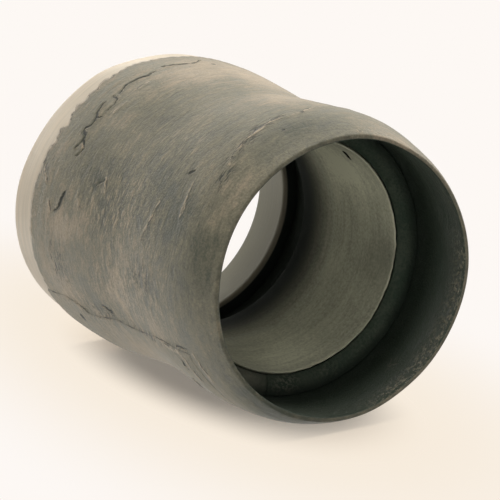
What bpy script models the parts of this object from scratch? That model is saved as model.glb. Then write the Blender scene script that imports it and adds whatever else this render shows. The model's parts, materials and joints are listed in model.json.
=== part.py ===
"""Flexible rubber pipe coupling, made of four turned rubber pieces.

A wrapped hose body with an hourglass outline carries a liner sleeve in its waist, a lapped stop band in front
of the liner and a plain ring in its rear end. Lengths are in metres. The front mouth stands on z = 0 and the
bore runs up the Z axis.
"""
import math

import bpy

# Lengths along the bore, from the front mouth to the rear end
SOCKET_DEPTH = 0.0365
SLEEVE_SETBACK = 0.0028
SLEEVE_LENGTH = 0.0747
RECESS_LENGTH = 0.0267
RING_LENGTH = 0.0293
BAND_WIDTH = 0.0120
WRAP_SETBACK = 0.0190
WRAP_OVERLAP = 0.0090
FRONT_BULGE_Z = 0.0330
WAIST_Z = 0.0720
REAR_BULGE_SETBACK = 0.0250

# The pipe's bore at the front mouth, and how far the other bores stand inside it or outside it
MOUTH_BORE_RADIUS = 0.0552
STOP_STEP = 0.0068
RING_LIP_STEP = 0.0018
RING_MOUTH_STEP = 0.0015

# Walls and steps, each measured outwards from the surface that carries it
LIP_WALL = 0.0018
SOCKET_FLARE = 0.0030
FRONT_WALL = 0.0050
SLEEVE_WALL = 0.0026
SLEEVE_EDGE_WALL = 0.0005
SLEEVE_CHAMFER_LENGTH = 0.0040
WAIST_WALL = 0.0114
RECESS_DEPTH = 0.0090
REAR_WALL = 0.0069
RING_SEAT_STEP = 0.0015
RING_END_WALL = 0.0089
WRAP_EDGE_WALL = 0.0012

# Rounded edges and the slopes of the outline at its two ends
BAND_NOSE_DROP = 0.0034
RING_LIP_ROUND = 0.0014
RING_END_ROUND = 0.0012
LIP_SLOPE = 0.55
END_SLOPE = -0.07

# The lap where the stop band's ends cross
LAP_THICKNESS = 0.0011
LAP_LENGTH = 0.0260
LAP_MARGIN = 0.0008
LAP_ANGLE = math.radians(105.2)

# Clearances: rubber that lies against rubber, and the thin slit round the liner's front edge
SEAT_GAP = 0.0003
SLIT_GAP = 0.0005

# How finely the turned shapes are cut
SIDES = 64
OUTLINE_POINTS = 19
OUTLINE_CROWDING = 1.4
SOCKET_POINTS = 6
NOSE_POINTS = 6
ROUND_POINTS = 3

# What follows is worked out from the sizes above
SLEEVE_BORE_RADIUS = MOUTH_BORE_RADIUS - STOP_STEP
RING_LIP_RADIUS = MOUTH_BORE_RADIUS - RING_LIP_STEP
RING_MOUTH_RADIUS = MOUTH_BORE_RADIUS + RING_MOUTH_STEP
SLEEVE_FRONT_Z = SOCKET_DEPTH + SLEEVE_SETBACK
SLEEVE_REAR_Z = SLEEVE_FRONT_Z + SLEEVE_LENGTH
RING_FRONT_Z = SLEEVE_REAR_Z + RECESS_LENGTH
LENGTH = RING_FRONT_Z + RING_LENGTH
BAND_REAR_Z = SOCKET_DEPTH + BAND_WIDTH
WRAP_END_Z = LENGTH - WRAP_SETBACK
RING_SHOULDER_Z = WRAP_END_Z - WRAP_OVERLAP
MOUTH_RADIUS = MOUTH_BORE_RADIUS + LIP_WALL
SOCKET_ROOT_RADIUS = MOUTH_BORE_RADIUS + SOCKET_FLARE
SLEEVE_RADIUS = SLEEVE_BORE_RADIUS + SLEEVE_WALL
SLEEVE_SEAT_RADIUS = SLEEVE_RADIUS + SEAT_GAP
RECESS_RADIUS = SLEEVE_RADIUS + RECESS_DEPTH
RING_SEAT_RADIUS = RECESS_RADIUS + RING_SEAT_STEP
BAND_RADIUS = SOCKET_ROOT_RADIUS - SEAT_GAP
BAND_NOSE_RADIUS = SLEEVE_BORE_RADIUS + SLEEVE_EDGE_WALL + SLIT_GAP + SEAT_GAP
END_RADIUS = RING_MOUTH_RADIUS + RING_END_WALL

# Height, radius and slope of the outline where it turns
OUTLINE = [
    (0.0, MOUTH_RADIUS, LIP_SLOPE),
    (FRONT_BULGE_Z, SOCKET_ROOT_RADIUS + FRONT_WALL, 0.0),
    (WAIST_Z, SLEEVE_RADIUS + WAIST_WALL, 0.0),
    (LENGTH - REAR_BULGE_SETBACK, RECESS_RADIUS + REAR_WALL, 0.0),
    (LENGTH, END_RADIUS + WRAP_EDGE_WALL, END_SLOPE),
]


def outer_radius(z):
    """Radius of the wrapped body at height z, on the smooth cubic between the two nearest stations."""
    for (z0, r0, slope0), (z1, r1, slope1) in zip(OUTLINE, OUTLINE[1:]):
        if z <= z1:
            break
    span = z1 - z0
    t = (z - z0) / span
    rise = 3 * t ** 2 - 2 * t ** 3
    bow0 = span * slope0 * (t ** 3 - 2 * t ** 2 + t)
    bow1 = span * slope1 * (t ** 3 - t ** 2)
    return r0 + (r1 - r0) * rise + bow0 + bow1


def ring_radius(z):
    """Outer radius of the end ring at height z, under the wrap and beyond it."""
    return outer_radius(z) - WRAP_EDGE_WALL - SEAT_GAP


def spread(start, stop, count):
    """Count values from start to stop, both included."""
    return [start + (stop - start) * i / (count - 1) for i in range(count)]


def new_collection(name):
    """A collection of that name in the scene."""
    collection = bpy.data.collections.new(name)
    bpy.context.scene.collection.children.link(collection)
    return collection


def rubber(name, colour, roughness):
    """A Principled rubber of that colour."""
    material = bpy.data.materials.new(name)
    material.use_nodes = True
    shader = material.node_tree.nodes["Principled BSDF"]
    shader.inputs["Base Color"].default_value = (*colour, 1.0)
    shader.inputs["Roughness"].default_value = roughness
    shader.inputs["Metallic"].default_value = 0.0
    return material


def turned(name, outline, material, collection):
    """A closed outline of (radius, height) points, down the outer side and up the inner one, turned round Z."""
    count = len(outline)
    mesh = bpy.data.meshes.new(name)
    edges = [(i, (i + 1) % count) for i in range(count)]
    mesh.from_pydata([(r, 0.0, z) for r, z in outline], edges, [])
    mesh.materials.append(material)
    piece = bpy.data.objects.new(name, mesh)
    collection.objects.link(piece)
    screw = piece.modifiers.new("turn", "SCREW")
    screw.axis = "Z"
    screw.angle = math.tau
    screw.steps = SIDES
    screw.render_steps = SIDES
    screw.use_merge_vertices = True
    screw.merge_threshold = 0.00001
    screw.use_smooth_shade = True
    return piece


def boolean(piece, cutter, operation):
    """Cuts, keeps or joins with another object, which is hidden as a construction solid."""
    modifier = piece.modifiers.new(operation.lower(), "BOOLEAN")
    modifier.operation = operation
    modifier.solver = "EXACT"
    modifier.object = cutter
    cutter.hide_render = True
    cutter.display_type = "WIRE"


def rubber_body(collection):
    """The wrapped body: outline outside, and inside the front socket, band seat, liner bore, recess and ring seat."""
    heights = [WRAP_END_Z * t ** OUTLINE_CROWDING for t in spread(1.0, 0.0, OUTLINE_POINTS)]
    outside = [(outer_radius(z), z) for z in heights]
    socket = []
    for t in spread(0.0, 1.0, SOCKET_POINTS):
        flare = SOCKET_FLARE * math.sin(t * math.pi / 2)
        socket.append((MOUTH_BORE_RADIUS + flare, SOCKET_DEPTH * t))
    inside = [
        (SOCKET_ROOT_RADIUS, BAND_REAR_Z + SEAT_GAP),
        (SLEEVE_SEAT_RADIUS, BAND_REAR_Z + SEAT_GAP),
        (SLEEVE_SEAT_RADIUS, SLEEVE_REAR_Z),
        (RECESS_RADIUS, SLEEVE_REAR_Z),
        (RECESS_RADIUS, RING_FRONT_Z - SEAT_GAP),
        (RING_SEAT_RADIUS + SEAT_GAP, RING_FRONT_Z - SEAT_GAP),
        (RING_SEAT_RADIUS + SEAT_GAP, RING_SHOULDER_Z - SEAT_GAP),
        (ring_radius(RING_SHOULDER_Z) + SEAT_GAP, RING_SHOULDER_Z - SEAT_GAP),
        (ring_radius(WRAP_END_Z) + SEAT_GAP, WRAP_END_Z),
    ]
    material = rubber("wrapped_rubber", (0.095, 0.088, 0.072), 0.62)
    return turned("rubber_body", outside + socket + inside, material, collection)


def inner_sleeve(collection):
    """The liner through the waist, feathered from outside to a thin front edge."""
    outline = [
        (SLEEVE_RADIUS, SLEEVE_REAR_Z),
        (SLEEVE_RADIUS, SLEEVE_FRONT_Z + SLEEVE_CHAMFER_LENGTH),
        (SLEEVE_BORE_RADIUS + SLEEVE_EDGE_WALL, SLEEVE_FRONT_Z),
        (SLEEVE_BORE_RADIUS, SLEEVE_FRONT_Z),
        (SLEEVE_BORE_RADIUS, SLEEVE_REAR_Z),
    ]
    material = rubber("liner_rubber", (0.135, 0.130, 0.105), 0.7)
    return turned("inner_sleeve", outline, material, collection)


def nose_height(r):
    """Height of the stop band's front face at radius r: a quarter of an ellipse, steepest at the liner."""
    u = (BAND_RADIUS - r) / (BAND_RADIUS - BAND_NOSE_RADIUS)
    return SOCKET_DEPTH + BAND_NOSE_DROP * (1.0 - math.sqrt(max(0.0, 1.0 - u * u)))


def lap_end(radius_in, radius_out, material, collection):
    """The raised end of the band: a thin turned layer on its face, kept only inside a tilted block."""
    face = spread(radius_out, radius_in, NOSE_POINTS)
    front = [(r, nose_height(r) - LAP_THICKNESS) for r in face]
    back = [(r, nose_height(r) + LAP_THICKNESS) for r in reversed(face)]
    lap = turned("lap_layer", back[-1:] + front + back[:-1], material, collection)

    height = 2 * (LAP_THICKNESS + BAND_NOSE_DROP)
    bpy.ops.mesh.primitive_cube_add(size=1.0)
    block = bpy.context.object
    block.name = "lap_block"
    for owner in list(block.users_collection):
        owner.objects.unlink(block)
    collection.objects.link(block)
    width = 2 * (radius_out - radius_in)
    for vertex in block.data.vertices:
        x, y, z = vertex.co
        vertex.co = (x * width, (y + 0.5) * LAP_LENGTH, z * height)
    middle = (radius_in + radius_out) / 2
    fall = math.atan2(LAP_THICKNESS, LAP_LENGTH)
    block.rotation_mode = "XYZ"
    block.rotation_euler = (fall, 0.0, LAP_ANGLE)
    top = SOCKET_DEPTH - LAP_THICKNESS + height / 2
    block.location = (middle * math.cos(LAP_ANGLE), middle * math.sin(LAP_ANGLE), top)
    boolean(lap, block, "INTERSECT")
    return lap


def shoulder_band(collection, cutters):
    """The wound strip that stops the pipe: a rounded nose in front, a slit to the liner and one lapped end."""
    front = [(r, nose_height(r)) for r in spread(BAND_RADIUS, BAND_NOSE_RADIUS, NOSE_POINTS)]
    inner = SLEEVE_RADIUS + SLIT_GAP
    back = [
        (inner, SLEEVE_FRONT_Z + SLEEVE_CHAMFER_LENGTH),
        (inner, BAND_REAR_Z),
        (BAND_RADIUS, BAND_REAR_Z),
    ]
    material = rubber("band_rubber", (0.060, 0.060, 0.052), 0.6)
    band = turned("shoulder_band", back[-1:] + front + back[:-1], material, collection)
    lap = lap_end(BAND_NOSE_RADIUS + LAP_MARGIN, BAND_RADIUS - LAP_MARGIN, material, cutters)
    boolean(band, lap, "UNION")
    return band


def rear_ring(collection):
    """The plain end ring: seated in the body, under the wrap's torn edge, with a rounded lip at the recess."""
    crown = LENGTH - RING_END_ROUND
    end = []
    for t in spread(0.0, math.pi / 2, ROUND_POINTS):
        outward = ring_radius(crown) - RING_END_ROUND * (1 - math.sin(t))
        end.append((outward, crown + RING_END_ROUND * math.cos(t)))
    sides = [(ring_radius(z), z) for z in (WRAP_END_Z, RING_SHOULDER_Z)]
    seat = [(RING_SEAT_RADIUS, RING_SHOULDER_Z), (RING_SEAT_RADIUS, RING_FRONT_Z)]
    lip = []
    for t in spread(0.0, math.pi / 2, ROUND_POINTS):
        inward = RING_LIP_RADIUS + RING_LIP_ROUND * (1 - math.sin(t))
        lip.append((inward, RING_FRONT_Z + RING_LIP_ROUND * (1 - math.cos(t))))
    mouth = [(RING_MOUTH_RADIUS, LENGTH)]
    material = rubber("ring_rubber", (0.190, 0.172, 0.140), 0.55)
    return turned("rear_ring", end + sides + seat + lip + mouth, material, collection)


def build():
    """Clears the scene and makes the coupling."""
    for item in list(bpy.data.objects):
        bpy.data.objects.remove(item, do_unlink=True)
    parts = new_collection("pipe_coupling")
    cutters = new_collection("cutters")
    rubber_body(parts)
    inner_sleeve(parts)
    shoulder_band(parts, cutters)
    rear_ring(parts)


build()
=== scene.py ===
# %% [markdown]
# # A flexible rubber pipe coupling
#
# The coupling is a short rubber hose with a mouth at each end. Its body is a wrapped rubber wall, a liner
# runs through its waist, a wound band stands in front of the liner as a stop, and a plain ring closes the
# rear end. The four solids come from the CAD frame. This lesson gives each one the skin that the real
# rubber has: brushed streaks, torn edges, cracks, dust and wear.

# %% Load the frame
import json
import math
from types import SimpleNamespace

import bpy
import numpy as np
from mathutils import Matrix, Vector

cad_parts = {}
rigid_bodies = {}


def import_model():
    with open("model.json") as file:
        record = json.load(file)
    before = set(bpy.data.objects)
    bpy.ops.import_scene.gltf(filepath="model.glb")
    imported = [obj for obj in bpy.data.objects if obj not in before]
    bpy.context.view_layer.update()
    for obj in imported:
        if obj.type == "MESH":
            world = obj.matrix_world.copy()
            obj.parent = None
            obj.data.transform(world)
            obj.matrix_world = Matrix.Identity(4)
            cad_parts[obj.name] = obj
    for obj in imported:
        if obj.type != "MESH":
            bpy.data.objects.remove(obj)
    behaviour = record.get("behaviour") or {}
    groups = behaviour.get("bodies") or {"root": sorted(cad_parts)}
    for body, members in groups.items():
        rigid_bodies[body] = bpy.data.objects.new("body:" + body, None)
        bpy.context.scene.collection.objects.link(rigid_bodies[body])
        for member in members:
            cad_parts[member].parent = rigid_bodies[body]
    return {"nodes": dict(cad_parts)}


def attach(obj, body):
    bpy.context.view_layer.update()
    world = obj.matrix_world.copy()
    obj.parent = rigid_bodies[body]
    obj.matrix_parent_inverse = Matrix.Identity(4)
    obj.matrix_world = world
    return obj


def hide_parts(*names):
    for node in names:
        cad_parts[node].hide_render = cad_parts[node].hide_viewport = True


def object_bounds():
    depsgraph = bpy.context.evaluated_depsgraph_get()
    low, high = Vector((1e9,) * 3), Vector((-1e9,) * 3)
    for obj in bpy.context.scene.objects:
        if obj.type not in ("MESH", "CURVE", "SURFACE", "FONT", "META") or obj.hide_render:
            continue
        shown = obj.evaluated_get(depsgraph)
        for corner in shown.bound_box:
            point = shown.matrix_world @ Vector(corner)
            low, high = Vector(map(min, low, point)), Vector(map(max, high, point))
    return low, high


for item in list(bpy.data.objects):
    bpy.data.objects.remove(item, do_unlink=True)
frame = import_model()
cad_low, cad_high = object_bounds()
LENGTH = cad_high.z
MM = 0.001
print(f"frame: {len(frame['nodes'])} solids, {LENGTH / MM:.1f} mm long")

# %% [markdown]
# ## The camera
#
# The photograph looks into the front mouth from below and to the left of the bore's axis, so in the CAD
# frame the camera stands under the coupling's front end. Its place and its three directions were found by
# matching the round edges of the bore. Blender's camera looks along its own minus Z, so the matrix takes
# the directions right, up and back.

# %% Place the camera
CAMERA_PLACE = (-0.353263, -0.194548, -0.565543)
CAMERA_RIGHT = (0.87617, 0.0, -0.48201)
CAMERA_DOWN = (-0.12727, 0.96451, -0.23134)
CAMERA_LENS = 129.6
SENSOR_WIDTH = 36.0
NEAREST, FURTHEST = 0.01, 20.0


def aim(item, right, up, back, place):
    """Links item to the scene at place, with its own X, Y and Z axes along right, up and back."""
    bpy.context.scene.collection.objects.link(item)
    placing = np.eye(4)
    placing[:3, :3] = np.stack([right, up, back], axis=1)
    placing[:3, 3] = place
    item.matrix_world = placing.T.tolist()


right = np.array(CAMERA_RIGHT)
down = np.array(CAMERA_DOWN)
ahead = np.cross(right, down)
camera_data = bpy.data.cameras.new("photo_camera")
camera_data.lens = CAMERA_LENS
camera_data.sensor_width = SENSOR_WIDTH
camera_data.clip_start, camera_data.clip_end = NEAREST, FURTHEST
camera = bpy.data.objects.new("photo_camera", camera_data)
aim(camera, right, -down, -ahead, CAMERA_PLACE)
bpy.context.scene.camera = camera
bpy.context.scene.view_settings.view_transform = "Standard"
print("camera looks along", np.round(ahead, 3))

# %% [markdown]
# ## Reading the turned sections
#
# Each CAD solid is a section turned round the Z axis. Its corners in the half plane y = 0, x > 0 are
# joined by the edges that stay in that plane, so a walk along those edges gives the section back. A new
# skin that starts from the section always fits the solid that it replaces.

# %% Walk round a section
MICRONS = 1e6
FLAT = 2


def section(name):
    """Corners (radius, height) of a turned solid in metres, from its highest outer corner down outside
    and up inside. Corners within FLAT microns of the half plane belong to it."""
    mesh = frame["nodes"][name].data
    place = np.empty(len(mesh.vertices) * 3, np.float32)
    mesh.vertices.foreach_get("co", place)
    microns = np.round(place.reshape(-1, 3) * MICRONS).astype(int)
    corners, which = np.unique(microns, axis=0, return_inverse=True)
    which = which.ravel()
    ends = np.empty(len(mesh.edges) * 2, np.int32)
    mesh.edges.foreach_get("vertices", ends)
    ends = which[ends.reshape(-1, 2)]
    flat = (np.abs(corners[:, 1]) <= FLAT) & (corners[:, 0] > 0)
    ends = ends[flat[ends].all(axis=1) & (ends[:, 0] != ends[:, 1])]
    beside = {}
    for a, b in ends.tolist():
        beside.setdefault(a, set()).add(b)
        beside.setdefault(b, set()).add(a)
    top = max(beside, key=lambda i: (corners[i, 2], corners[i, 0]))
    lower = min(beside[top], key=lambda i: corners[i, 2])
    walk = [top, lower]
    while len(walk) < len(beside):
        walk.append(next(i for i in sorted(beside[walk[-1]]) if i not in walk))
    return corners[walk][:, [0, 2]] / MICRONS


SOLIDS = ("rubber_body", "inner_sleeve", "shoulder_band", "rear_ring")
BODY, SLEEVE, BAND, RING = (section(name) for name in SOLIDS)
for name, outline in zip(SOLIDS, (BODY, SLEEVE, BAND, RING)):
    print(name, "section in mm:", np.round(outline / MM, 1).tolist())

# %% [markdown]
# ## From a section to a skin
#
# Rubber has no knife edges, so each sharp corner of a section is replaced by a short curve. Then points
# are added along its sides until they are close enough to carry the small relief, and the section is
# turned round Z. A skin made this way closes on itself both ways, like a ring, so it has no seam and no
# pole. The columns crowd together on the side that the photograph shows, where the cracks are.

# %% Tools for sections
TURN = 2 * math.pi
COLUMNS = 420
CROWDED_SIDE = math.radians(-150)
CROWDING = 0.3
SHARP = math.radians(25)
CORNER_SHARE = 2.2


def rounded(outline, radius, points=5):
    """The closed outline with each sharp corner bridged by that many points: a quadratic curve that starts
    radius before the corner, ends radius after it and is pulled towards it. It takes at most one part in
    CORNER_SHARE of a side. Other corners stay."""
    to_last = np.roll(outline, 1, axis=0) - outline
    to_next = np.roll(outline, -1, axis=0) - outline
    last, following = np.linalg.norm(to_last, axis=1), np.linalg.norm(to_next, axis=1)
    cosine = -(to_last * to_next).sum(axis=1) / (last * following)
    sharp = np.arccos(np.clip(cosine, -1, 1)) > SHARP
    cut = np.where(sharp, np.minimum(radius, np.minimum(last, following) / CORNER_SHARE), 0.0)
    start = outline + to_last * (cut / last)[:, None]
    stop = outline + to_next * (cut / following)[:, None]
    count = np.where(sharp, points, 1)
    which = np.repeat(np.arange(len(outline)), count)
    step = np.arange(count.sum()) - np.repeat(np.cumsum(count) - count, count)
    t = (step / (points - 1))[:, None]
    return (1 - t) ** 2 * start[which] + 2 * t * (1 - t) * outline[which] + t ** 2 * stop[which]


def filled(outline, spacing, closed=True):
    """The outline with evenly placed points added to each side, none further apart than spacing. An open
    one ends at its last corner."""
    sides = np.roll(outline, -1, axis=0) - outline
    count = np.maximum(1, np.ceil(np.linalg.norm(sides, axis=1) / spacing)).astype(int)
    which = np.repeat(np.arange(len(outline)), count)
    step = np.arange(count.sum()) - np.repeat(np.cumsum(count) - count, count)
    points = outline[which] + sides[which] * (step / count[which])[:, None]
    return points if closed else points[:len(points) - count[-1] + 1]


def turned_grid(outline, corner, spacing):
    """Radius and height of every row as columns, and the angle of every column as a row, so that they
    combine."""
    rows = filled(rounded(outline, corner), spacing)
    return rows[:, :1], rows[:, 1:], ANGLES[None, :]


def smooth_through(x, y, at):
    """A cubic through the points (x, y), x rising, whose slope at each point is the mean slope around
    it."""
    slope = np.gradient(y, x)
    i = np.clip(np.searchsorted(x, at) - 1, 0, len(x) - 2)
    span = x[i + 1] - x[i]
    t = (at - x[i]) / span
    rise = t * t * (3 - 2 * t)
    bow = span * (slope[i] * (t ** 3 - 2 * t * t + t) + slope[i + 1] * (t ** 3 - t * t))
    return y[i] + (y[i + 1] - y[i]) * rise + bow


def smoothstep(low, high, x):
    """0 below low, 1 above high, and an S curve between them. With high below low it falls."""
    t = np.clip((x - low) / (high - low), 0, 1)
    return t * t * (3 - 2 * t)


even = np.arange(COLUMNS) / COLUMNS * TURN
ANGLES = even - CROWDING * np.sin(even - CROWDED_SIDE)
print(f"{COLUMNS} columns, {(1 - CROWDING) * 360 / COLUMNS:.2f} degrees apart where they crowd")

# %% [markdown]
# ## The object's own unevenness
#
# A hand-wrapped hose is never round. Its outside is a little oval towards the rear, where it sags, and
# the whole surface swells and dips slightly. The swell is a sum of plane waves with a whole number of
# crests round the axis, so that it meets itself again after one turn.

# %% Swell and oval
OVAL = 0.058
OVAL_AXIS = math.radians(-20)
OVAL_FROM, OVAL_TO = 0.0585, 0.064
SWELL_SPREAD = 1.5


def swell(angle, height, seed, crests, length, waves=24):
    """Smooth random relief, mostly between -1 and 1: a sum of cosines of crest count x angle + height x
    pitch + phase, with at most that many crests round the axis and no wave shorter than length along
    it."""
    draw = np.random.default_rng(seed)
    around = draw.integers(-crests, crests + 1, waves)
    along = draw.uniform(-1, 1, waves) * TURN / length
    phase = draw.uniform(0, TURN, waves)
    total = sum(np.cos(a * angle + k * height + p) for a, k, p in zip(around, along, phase))
    return total * math.sqrt(2 / waves) / SWELL_SPREAD


def oval(radius, height, angle):
    """How far the sagging outside stands out: it grows with the square of the height and has two lobes."""
    share = OVAL * (height / LENGTH) ** 2 * np.cos(2 * (angle - OVAL_AXIS))
    return radius * share * smoothstep(OVAL_FROM, OVAL_TO, radius)


# %% [markdown]
# ## Making the mesh
#
# numpy holds the whole grid of points as one array: rows follow the section, columns go round the axis.
# Each quad joins a point to its neighbours, and the last row and column join the first ones. The arrays
# go into the mesh in a few calls, which is far quicker than a loop over points.


# %% Mesh builder
def skin(name, radius, height, angle, material):
    """A closed mesh whose point (row, column) lies at that radius, height and angle."""
    points = np.stack([radius * np.cos(angle), radius * np.sin(angle), height + 0 * angle], axis=-1)
    rows, columns = points.shape[:2]
    index = np.arange(rows * columns).reshape(rows, columns)
    lower = np.roll(index, -1, axis=0)
    quads = np.stack([index, lower, np.roll(lower, -1, axis=1), np.roll(index, -1, axis=1)], axis=-1)
    mesh = bpy.data.meshes.new(name)
    mesh.vertices.add(index.size)
    mesh.vertices.foreach_set("co", points.astype(np.float32).ravel())
    mesh.loops.add(quads.size)
    mesh.loops.foreach_set("vertex_index", quads.astype(np.int32).ravel())
    mesh.polygons.add(index.size)
    mesh.polygons.foreach_set("loop_start", np.arange(0, quads.size, 4, dtype=np.int32))
    mesh.update(calc_edges=True)
    mesh.shade_smooth()
    mesh.materials.append(material)
    piece = bpy.data.objects.new(name, mesh)
    bpy.context.scene.collection.objects.link(piece)
    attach(piece, "root")
    print(f"{name}: {rows} rows, {2 * index.size} triangles")
    return piece


def paint(piece, name, values):
    """Keeps one number for each point as a mesh attribute, which a material reads by its name."""
    attribute = piece.data.attributes.new(name, "FLOAT", "POINT")
    attribute.data.foreach_set("value", values.astype(np.float32).ravel())


# %% [markdown]
# ## Marks on a surface
#
# A crack, a seam or a torn edge is drawn as a line of points, each a height in millimetres and an angle
# in degrees. The line is unrolled onto a flat sheet, and each point of the skin gets its distance to the
# line, with a plus sign on the left and a minus sign on the right. A signed distance passes smoothly
# through zero, so even a line that is thinner than the mesh stays sharp when a material cuts it out.

# %% Signed distance to a line
SHEET_RADIUS = 64.0


def unrolled(height, angle, middle):
    """Place on the flat sheet in mm: along the axis, and round it from the angle middle (radians)."""
    return height / MM, SHEET_RADIUS * ((angle - middle + math.pi) % TURN - math.pi)


def line_distance(line, height, angle, fade):
    """Signed distance in mm of every point to a line of (height in mm, angle in degrees), and a weight
    that is 1 along the line and falls to 0 within fade mm of its two ends."""
    line = np.array(line, float)
    middle = math.radians(line[:, 1].mean())
    u, v = unrolled(height, angle, middle)
    x, y = unrolled(line[:, 0] * MM, np.radians(line[:, 1]), middle)
    lengths = np.hypot(np.diff(x), np.diff(y))
    reached = np.concatenate([[0], np.cumsum(lengths)])
    nearest = np.full(u.shape, np.inf)
    side = np.ones(u.shape)
    along = np.zeros(u.shape)
    for i, length in enumerate(lengths):
        dx, dy = (x[i + 1] - x[i]) / length, (y[i + 1] - y[i]) / length
        t = np.clip((u - x[i]) * dx + (v - y[i]) * dy, 0, length)
        away = np.hypot(u - x[i] - t * dx, v - y[i] - t * dy)
        closer = away < nearest
        nearest = np.where(closer, away, nearest)
        side = np.where(closer, np.sign(dx * (v - y[i]) - dy * (u - x[i])), side)
        along = np.where(closer, reached[i] + t, along)
    weight = smoothstep(0, fade, along) * smoothstep(reached[-1], reached[-1] - fade, along)
    return nearest * side, weight


# %% [markdown]
# ## The wrapped body
#
# The body is a rubber strip wound round a form and vulcanised. It has an hourglass outline with a bulge
# near each end, a thin front lip, and a torn rear edge where the strip stops short of the end ring. At
# the lower left the strip's last turn laps over the one below it, so the wall is thicker there and ends
# in a low step. On the upper left the surface has opened in a chain of cracks with lifted lips.
#
# One grid carries all of it: the smooth outline comes from the CAD section, and each feature is a small
# change of radius or height that depends on the angle and the height.

# %% Lines on the body
TORN_EDGE = [(-180, 150.6), (-176, 150.8), (-171, 150.7), (-166, 150.3), (-161, 149.9), (-156.4, 150.0),
             (-152.1, 151.0), (-150, 147.6), (-146.3, 150.9), (-144.4, 151.6), (-142.1, 147.3),
             (-137.9, 150.7), (-134.7, 152.2), (-132.5, 153.6), (-130.2, 151.0), (-126.2, 153.3),
             (-123.9, 151.7), (-119.3, 154.1), (-112.6, 153.7), (-105.2, 157.0), (-95, 155), (-70, 152),
             (-45, 149), (-20, 151), (10, 148), (35, 152), (60, 150), (85, 147), (110, 151), (130, 153),
             (150, 153), (155, 151.8), (160, 152.0), (165, 152.2), (169, 151.6), (173, 151.2)]
CHAIN = [(129.1, -151), (129.1, -148.9), (127.2, -146.1), (126.9, -144.1), (128.3, -142.4), (131.4, -141.8),
         (131.6, -140.3), (129.0, -138.7), (128.9, -136.8), (130.1, -134.9), (132.6, -133.2),
         (133.8, -130.5), (134.9, -128.2), (133.9, -126.6)]
CHAIN_BRANCH = [(130.1, -134.9), (127.5, -134.0), (125.9, -132.7), (127.0, -130.6), (127.2, -128.8),
                (126.7, -126.8), (128.9, -124.0), (132.8, -123.7), (135.5, -123.2)]
LONG_CRACK = [(131.0, -122.5), (133.8, -119.2), (135.1, -116.8), (135.1, -114.2), (134.8, -111.8),
              (134.2, -109.6), (132.4, -108.0), (134.2, -105.2), (135.0, -102.5)]
TOP_CRACK = [(138.8, -99.8), (137.1, -98.1), (135.9, -94.6), (134.2, -91.0), (133.6, -87.5), (137.0, -84.0),
             (140.5, -81.4)]
FLAP = [(126.9, -144.1), (124.2, -146.6), (122.7, -148.2), (124.0, -150.9), (127.0, -151.6)]
HOOK = [(122.1, -164.0), (122.4, -165.7), (123.6, -168.0), (124.2, -170.5), (126.0, -172.3),
        (129.5, -173.5)]
SMALL_CRACK = [(100.9, -159.2), (99.6, -157.4), (98.1, -156.3), (96.3, -155.7), (94.6, -154.2)]
WAIST_CRACK = [(38.3, -141.2), (36.0, -139.5), (33.9, -137.7)]
BACK_CRACK = [(118.0, 12.0), (119.6, 16.0), (118.8, 21.0), (121.0, 25.0), (120.2, 30.0)]
SIDE_CRACK = [(60.0, -32.0), (62.0, -29.0), (61.2, -24.5), (63.0, -21.0)]
LAP_SEAM = [(162.0, 150.0), (147.1, 151.2), (133.8, 152.1), (126.3, 151.2), (120.6, 149.5), (117.0, 147.2),
            (108.8, 147.3), (97.6, 149.2), (89.8, 150.1), (80.9, 149.7), (73.6, 149.9), (64.7, 151.1),
            (53.4, 153.2), (42.2, 154.4), (33.9, 154.3), (25.6, 154.7), (21.8, 154.4), (22.5, 150.8),
            (21.5, 147.2), (20.2, 142.1), (20.0, 135.0), (19.0, 124.0), (21.0, 112.0)]
SLITS = [[(33.0, 150.2), (32.2, 145.9), (31.3, 143.5)], [(36.5, 138.7), (38.5, 133.6), (40.0, 128.6)],
         [(128.6, 145.2), (128.7, 142.6), (127.2, 141.6)], [(33.0, 155.2), (25.3, 156.3), (21.0, 156.0)],
         [(100.0, 155.0), (94.8, 154.1), (90.0, 152.9)]]
FRONT_RIDGE = [(16.8, -132.8), (19.9, -126.0), (21.7, -120.5), (22.9, -114.5), (24.7, -108.3),
               (23.6, -103.9), (24.1, -96.3), (29.8, -84.2), (31.0, -70.0)]
FLAKES = [[(30.6, -141.5), (29.6, -146.5), (28.4, -150.5), (27.9, -156.5)],
          [(46.5, -152.5), (48.6, -157.5), (49.3, -161.0), (51.2, -165.5), (54.4, -171.0)],
          [(120.8, -131.5), (121.2, -127.0), (120.5, -122.5)],
          [(124.3, -117.5), (124.9, -113.5), (125.3, -109.5)],
          [(96.0, -153.0), (94.2, -156.0), (92.0, -160.5)],
          [(146.0, -159.5), (143.0, -162.5), (138.6, -165.8)],
          [(135.6, -169.5), (133.4, -172.0), (131.0, -175.5)],
          [(113.5, -162.0), (110.0, -166.0), (106.8, -170.0)],
          [(126.0, -145.5), (123.5, -148.5), (121.5, -151.5)],
          [(29.5, 152.8), (28.0, 149.0), (27.0, 145.0), (25.5, 139.0)],
          [(44.0, 152.6), (36.0, 152.8), (27.0, 153.0)],
          [(19.5, 156.5), (17.5, 152.0), (17.0, 147.0), (16.5, 141.0)]]
# Small holes: height in mm, angle in degrees and radius in mm
PITS = [(77.5, -80.7, 0.5), (14.2, -108.9, 0.2), (23.5, -95.8, 0.4), (130.7, -80.1, 0.6),
        (19.3, -128.8, 0.1), (51.2, -168.8, 0.3), (129.1, 141.9, 0.6), (1.6, -83.7, 0.4),
        (24.5, -114.4, 0.1), (96.0, 60.0, 0.6)]

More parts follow.
